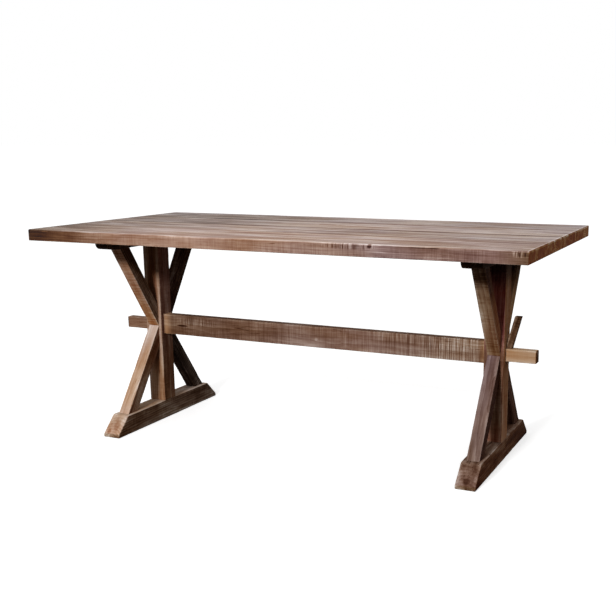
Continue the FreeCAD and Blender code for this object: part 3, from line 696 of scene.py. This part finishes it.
# A split near the left end, a pale bruise, a pale line across, and two patches rough from the saw.
STRETCHER_MARKS = [
    ((-0.569, -0.018, 0.003), (0.028, 0.012, 0.0045), 1.3, False),
    ((0.014, -0.018, -0.003), (0.008, 0.012, 0.008), -0.35, False),
    ((0.131, -0.018, 0.005), (0.004, 0.012, 0.038), -0.25, False),
    ((-0.50, -0.018, 0.022), (0.09, 0.012, 0.020), 0.6, True),
    ((0.45, -0.018, 0.021), (0.22, 0.012, 0.026), 0.5, True),
]
WEDGE_LEAN = math.radians(14.6)
WEDGE_WIDTH, WEDGE_THICKNESS, WEDGE_GAP = 0.024, 0.016, 0.0003
WEDGE_HEEL = 0.033  # from the middle of the tenon up to where the wedge leaves its post
WEDGE_SLOT_INSET = 0.005  # how far the slot goes on inside the post, so that the wedge draws tight
rail_half_length, post_outer_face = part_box("right_post")[0].x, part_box("right_post")[1].x


def stretcher_box(x):
    if abs(x) > rail_half_length:
        return -TENON_HALF_WIDTH, TENON_HALF_WIDTH, -TENON_HALF_HEIGHT, TENON_HALF_HEIGHT
    low_side, high_side = RAIL_RISE - RAIL_HALF_HEIGHT, RAIL_RISE + RAIL_HALF_HEIGHT
    return -RAIL_HALF_THICKNESS, RAIL_HALF_THICKNESS, low_side, high_side


low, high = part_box("stretcher")
place = frame_at((0, 0, tenon_level), (1, 0, 0), (0, 1, 0))
ends = [((low.x, 0, 0), (-1, 0, 0)), ((high.x, 0, 0), (1, 0, 0))]
stretcher = worn_timber(
    "stretcher_worn",
    place,
    ends,
    stretcher_box,
    (0.0015,) * 4,
    STRETCHER_SEED,
    end_round=0.006,
    end_wear=DIRTY,
    shoulders=(-rail_half_length, rail_half_length),
)
for way in (-1, 1):
    slant = math.tan(WEDGE_LEAN)
    above = TENON_HALF_HEIGHT + PAST_POST
    inner = post_outer_face - WEDGE_SLOT_INSET
    outer = post_outer_face + WEDGE_WIDTH + WEDGE_GAP - WEDGE_HEEL * slant
    outline = [
        (inner, -above),
        (outer - above * slant, -above),
        (outer + above * slant, above),
        (inner, above),
    ]
    half_slot = WEDGE_THICKNESS / 2 + WEDGE_GAP
    corners = [(way * x, way * half_slot, tenon_level + z) for x, z in outline]
    cut_out(stretcher, prism("wedge_slot", corners, (0, -2 * way * half_slot, 0)))
wood = old_pine(
    "stretcher_pine",
    STRETCHER_TONES,
    STRETCHER_SEED,
    figure=0.2,
    streaks=0.25,
    streak_gap=0.03,
    saw_gap=0.006,
    saw_length=0.16,
    pith=(0.05, -0.02),
    end_tone="#5a3f2c",
    marks=STRETCHER_MARKS,
)
stand_for(stretcher, "stretcher", "table", wood)


# The wedges. Each is a small tapered peg of old pine in the slot of a tenon. Up to its heel its inner
# face is upright and bears on the post, and above that it leans away from the post. It draws out upward.

WEDGE_RISE, WEDGE_DROP = 0.112, 0.012  # how far it stands out above and below the tenon
WEDGE_TONES = [(-0.07, "#573b29", 0.2), (0.05, "#5d422e", 0.3), (0.10, "#523a29", 0.5)]

for seed, (side, way) in enumerate((("left", -1), ("right", 1)), start=61):
    lean = Vector((way * math.sin(WEDGE_LEAN), 0, math.cos(WEDGE_LEAN)))
    outward = Vector((way * math.cos(WEDGE_LEAN), 0, -math.sin(WEDGE_LEAN)))

    def wedge_box(x):
        inner = (WEDGE_GAP + max(-x, 0) * math.sin(WEDGE_LEAN)) / math.cos(WEDGE_LEAN)
        return inner, WEDGE_WIDTH * math.cos(WEDGE_LEAN), -WEDGE_THICKNESS / 2, WEDGE_THICKNESS / 2

    place = frame_at((way * post_outer_face, 0, tenon_level + WEDGE_HEEL), lean, outward)
    top, bottom = TENON_HALF_HEIGHT + WEDGE_RISE, -TENON_HALF_HEIGHT - WEDGE_DROP
    ends = [((0, 0, tenon_level + bottom), (0, 0, -1)), ((0, 0, tenon_level + top), (0, 0, 1))]
    piece_name = side + "_tusk_wedge_worn"
    wedge = worn_timber(piece_name, place, ends, wedge_box, (0.0015,) * 4, seed, end_round=0.002, step=0.004)
    wood = old_pine(
        side + "_wedge_pine",
        WEDGE_TONES,
        seed,
        mottle=0.5,
        ring_gap=0.004,
        end_tone="#3d281b",
    )
    stand_for(wedge, side + "_tusk_wedge", side + "_wedge", wood)


# The top. Four old boards lie side by side, with loose tongues of new pine in their seams. The outer
# arrises are rounded by hand and by years of use, wiping has bleached and polished the upper faces,
# and dirt in the seams and along the far edges shows as dark lines. The pale grey of the upper faces
# is partly that bleaching and partly painted sheen.

BOARD_TONES = {
    "front": [
        (-0.9, "#41240c", 0.1),
        (-0.72, "#58351e", 0.1),
        (-0.55, "#87614b", 0.15),
        (-0.35, "#a68676", 0.2),
        (-0.1, "#a28271", 0.25),
        (0.1, "#9a7c6f", 0.25),
        (0.28, "#977c71", 0.3),
        (0.45, "#795e59", 0.25),
        (0.8, "#77584f", 0.25),
        (0.9, "#70553f", 0.1),
    ],
    "front_middle": [(-0.9, "#80675a", 0.1), (0.0, "#93786a", 0.1), (0.9, "#86705f", 0.1)],
    "back_middle": [(-0.9, "#857064", 0.1), (0.0, "#8e7467", 0.1), (0.9, "#80695e", 0.1)],
    "back": [(-0.9, "#7d695d", 0.1), (0.0, "#8a7163", 0.1), (0.9, "#7d6a60", 0.1)],
}
# The pale grey of the upper faces is partly bleaching and partly painted sheen.
BOARD_TOPS = {
    "front": [(-0.9, "#867161", 0.1), (-0.4, "#c0aaa2", 0.1), (0.5, "#b59d94", 0.1), (0.9, "#a1897f", 0.1)],
    "front_middle": [(-0.9, "#8b786f", 0.1), (-0.2, "#b7a29a", 0.1), (0.9, "#aa9893", 0.1)],
    "back_middle": [
        (-0.9, "#8c7c76", 0.1),
        (-0.4, "#9e8c84", 0.1),
        (0.1, "#bba59d", 0.1),
        (0.9, "#b3a29e", 0.1),
    ],
    "back": [(-0.9, "#8e807c", 0.1), (-0.4, "#958680", 0.1), (0.1, "#b2a09a", 0.1), (0.9, "#ab9c9b", 0.1)],
}
# Where the heart of the tree lay, across and up from the middle of each board. The front board was
# sawn beside it, so its top has straight grain and its edge has blotches.
BOARD_HEARTS = {
    "front": (0.09, -0.008),
    "front_middle": (0.0, -0.09),
    "back_middle": (0.02, -0.09),
    "back": (0.04, -0.09),
}
# Chips on the upper arris of the front edge: a worn hollow, a dent, and three at the right corner.
FRONT_BOARD_CHIPS = [
    (3, -0.62, 0.016, 0.003),
    (3, 0.414, 0.007, 0.006),
    (3, 0.857, 0.005, 0.005),
    (3, 0.872, 0.005, 0.006),
    (3, 0.889, 0.005, 0.005),
]
# On the front edge: a patch rough from the saw with a dent at its end, and saw strokes at the corner.
FRONT_BOARD_MARKS = [
    ((0.345, -0.122, 0.011), (0.100, 0.03, 0.011), 0.9, True),
    ((0.414, -0.122, 0.014), (0.009, 0.03, 0.007), 1.4, False),
    ((0.873, -0.122, 0.010), (0.036, 0.03, 0.011), 0.85, True),
    ((0.872, -0.122, 0.010), (0.005, 0.03, 0.009), 0.2, False),
]
SEAM_DIRT_LENGTH, SEAM_DIRT_WIDTH = 1.1, 0.009
END_DIRT, END_DIRT_WIDTH = 0.8, 0.014  # on the left end
END_RUB, END_RUB_WIDTH = 0.55, 0.008  # on the upper arris of the right end
BOARD_BREADTH = 1.0  # more than any board is wide
DIRT_DEPTH = 0.02
# Along which edges of a board dirt lies, where along them it is worst, and how deep its tone is there.
SEAM_DIRT = {
    "front": [],
    "front_middle": [(-1, -0.5, 0.4), (1, 0.25, 1.4)],
    "back_middle": [(-1, 0.25, 1.4), (1, -0.1, 0.7)],
    "back": [(-1, -0.1, 0.7), (1, 0.0, 0.9)],
}
UPPER_ARRIS, LOWER_ARRIS, SEAM_ARRIS = 0.006, 0.002, 0.002

for seed, board_name in enumerate(BOARD_TONES, start=71):
    low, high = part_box("top_board_" + board_name)
    half = (high - low) / 2
    place = frame_at((low + high) / 2, (1, 0, 0), (0, 1, 0))
    ends = [((low.x, 0, 0), (-1, 0, 0)), ((high.x, 0, 0), (1, 0, 0))]
    sides = (-half.y, half.y, -half.z, half.z)
    arris, wear = [SEAM_ARRIS] * 4, [DIRTY] * 4
    for outer_board, lower, upper in (("front", 0, 3), ("back", 1, 2)):
        if board_name == outer_board:
            arris[lower], arris[upper] = LOWER_ARRIS, UPPER_ARRIS
            wear[lower], wear[upper] = RUBBED, RUBBED / 2
    marks = list(FRONT_BOARD_MARKS) if board_name == "front" else []
    for edge, dirtiest, deeper in SEAM_DIRT[board_name]:
        reach = (SEAM_DIRT_LENGTH, SEAM_DIRT_WIDTH, DIRT_DEPTH)
        marks.append(((dirtiest, edge * half.y, half.z), reach, deeper, False))
    reach = (END_DIRT_WIDTH, BOARD_BREADTH, DIRT_DEPTH)
    marks.append(((-half.x, 0.0, half.z), reach, END_DIRT, False))
    reach = (END_RUB_WIDTH, BOARD_BREADTH, END_RUB_WIDTH)
    marks.append(((half.x, 0.0, half.z), reach, -END_RUB, False))
    board = worn_timber(
        f"top_board_{board_name}_worn",
        place,
        ends,
        lambda x: sides,
        arris,
        seed,
        end_round=0.0025,
        step=0.008,
        wear=wear,
        end_wear=DIRTY / 2,
        chips=FRONT_BOARD_CHIPS if board_name == "front" else (),
    )
    wood = old_pine(
        f"top_board_{board_name}_pine",
        BOARD_TONES[board_name],
        seed,
        faces=[(UPWARD, 0.9, 0.62, 1.0, BOARD_TOPS[board_name])],
        figure=0.42,
        mottle=0.2,
        streaks=0.12,
        streak_gap=0.022,
        saw_gap=0.006,
        pith=BOARD_HEARTS[board_name],
        end_tone="#9e6739",
        marks=marks,
        roughness=0.85,
        specular=0.25,
    )
    stand_for(board, "top_board_" + board_name, "table", wood)

# New pine gives the eye a pale, even yellow, since nothing has stained it yet.
new_pine = old_pine("new_pine", [(-0.9, "#c9a878", 0.1), (0.9, "#c4a274", 0.1)], 81, figure=0.2)
for seam in ("front", "middle", "back"):
    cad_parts["top_spline_" + seam].data.materials.clear()
    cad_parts["top_spline_" + seam].data.materials.append(new_pine)


# The screws. Zinc-plated steel wood screws, their heads sunk in the bearers where only a hand would
# find them.

CRYSTAL = 0.0011  # across a crystal of the zinc

# Zinc plate gives the eye a grey sheen, brighter on one crystal than on the next.
zinc = bpy.data.materials.new("zinc_plated_steel")
zinc.use_nodes = True
tree = zinc.node_tree
shader = tree.nodes["Principled BSDF"]
shader.inputs["Metallic"].default_value = 1.0
place = add_node(tree, "TexCoord").outputs["Object"]
spangle = add_node(tree, "TexNoise", {"Vector": place, "Scale": 1 / CRYSTAL, "Detail": 2.0}).outputs["Fac"]
grey = add_node(tree, "MixRGB", [spangle, linear("#8d8f90"), linear("#c2c4c2")]).outputs[0]
rough = add_node(tree, "MapRange", [spangle, 0.0, 1.0, 0.28, 0.5]).outputs[0]
tree.links.new(grey, shader.inputs["Base Color"])
tree.links.new(rough, shader.inputs["Roughness"])
for side in ("left", "right"):
    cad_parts[side + "_bearer_screws"].data.materials.clear()
    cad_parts[side + "_bearer_screws"].data.materials.append(zinc)


# The studio. A white floor that fades into a white background, one large soft lamp low in front, and
# even light from above.

FLOOR_HALF = 300.0
FLOOR_DROP = 0.0005  # how far the floor lies below the feet
FLOOR_GLOW = 0.6


def shown(tree):
    """Whether a ray shows the thing it meets to the camera, straight on, mirrored or through glass."""
    rays = add_node(tree, "LightPath").outputs
    share = 0.0
    for ray in ("Is Camera Ray", "Is Glossy Ray", "Is Transmission Ray"):
        share = add_node(tree, "Math", [share, rays[ray]], operation="MAXIMUM").outputs[0]
    return share


floor_mesh = bpy.data.meshes.new("studio_floor")
corners = [(-1, -1), (1, -1), (1, 1), (-1, 1)]
floor_mesh.from_pydata([(FLOOR_HALF * x, FLOOR_HALF * y, 0) for x, y in corners], [], [(0, 1, 2, 3)])
floor = bpy.data.objects.new("studio_floor", floor_mesh)
floor.location.z = -FLOOR_DROP
bpy.context.scene.collection.objects.link(floor)

# The floor glows for the rays that show it, so that it is as white as the background, apart from
# the table's shadow, and it throws little light up under the top.
white_floor = bpy.data.materials.new("white_studio_floor")
white_floor.use_nodes = True
tree = white_floor.node_tree
tree.nodes.clear()
seen = shown(tree)
paint_tone = add_node(tree, "MixRGB", [seen, linear("#4c4540"), linear("#e8e8e8")]).outputs[0]
paint = add_node(tree, "BsdfDiffuse", [paint_tone]).outputs[0]
glow_level = add_node(tree, "Math", [seen, FLOOR_GLOW], operation="MULTIPLY").outputs[0]
glow = add_node(tree, "Emission", [linear("#ffffff"), glow_level]).outputs[0]
both = add_node(tree, "AddShader", [paint, glow]).outputs[0]
add_node(tree, "OutputMaterial", [both])
floor_mesh.materials.append(white_floor)

# More of the light comes from above than from the sides, where it is also warmer.
world = bpy.data.worlds.new("white_studio")
bpy.context.scene.world = world
world.use_nodes = True
tree = world.node_tree
tree.nodes.clear()
way = add_node(tree, "TexCoord").outputs["Generated"]
height = add_node(tree, "SeparateXYZ", [way]).outputs["Z"]
above = add_node(tree, "MapRange", [height, 0.05, 0.95]).outputs[0]
fill = add_node(tree, "MixRGB", [above, linear("#2f2823"), linear("#efefef")]).outputs[0]
light = add_node(tree, "MixRGB", [shown(tree), fill, linear("#ffffff")]).outputs[0]
sky = add_node(tree, "Background", [light, 1.0]).outputs[0]
add_node(tree, "OutputWorld", [sky])

# The lamp stands so low that the top's front edge throws its shadow on the upper braces.
LAMP_PLACE, LAMP_TARGET = Vector((0.05, -5.0, 2.65)), Vector((0.0, -0.3, 0.5))
LAMP_WIDTH, LAMP_HEIGHT, LAMP_WATTS = 0.8, 0.5, 205.0
lamp = bpy.data.lights.new("front_lamp", "AREA")
lamp.shape, lamp.size, lamp.size_y = "RECTANGLE", LAMP_WIDTH, LAMP_HEIGHT
lamp.energy = LAMP_WATTS
front_lamp = bpy.data.objects.new("front_lamp", lamp)
front_lamp.location = LAMP_PLACE
front_lamp.rotation_euler = (LAMP_TARGET - LAMP_PLACE).to_track_quat("-Z", "Y").to_euler()
bpy.context.scene.collection.objects.link(front_lamp)


# The camera, where the photograph was taken from: in front and to the right, a little above the top.
# The picture was cropped off its middle, which the shift repeats.

IMAGE_SIDE = 616  # in pixels
FOCAL_PIXELS = 925.163
PRINCIPAL_POINT = (372.682, 343.727)
FILM_WIDTH = 36.0  # in millimetres, which is also what the lens is counted in
CAMERA_PLACE = (1.51385, -2.98197, 1.07567)
CAMERA_YAW, CAMERA_PITCH, CAMERA_ROLL = 0.406023, 0.213771, -0.001817

camera_data = bpy.data.cameras.new("camera")
camera_data.sensor_width = FILM_WIDTH
camera_data.lens = FOCAL_PIXELS / IMAGE_SIDE * FILM_WIDTH
camera_data.shift_x = (IMAGE_SIDE / 2 - PRINCIPAL_POINT[0]) / IMAGE_SIDE
camera_data.shift_y = (PRINCIPAL_POINT[1] - IMAGE_SIDE / 2) / IMAGE_SIDE
camera = bpy.data.objects.new("camera", camera_data)
turned = Matrix.Rotation(CAMERA_YAW, 4, "Z") @ Matrix.Rotation(math.pi / 2 - CAMERA_PITCH, 4, "X")
camera.matrix_world = Matrix.Translation(CAMERA_PLACE) @ turned @ Matrix.Rotation(CAMERA_ROLL, 4, "Z")
bpy.context.scene.collection.objects.link(camera)
bpy.context.scene.camera = camera
bpy.context.scene.view_settings.view_transform = "Standard"
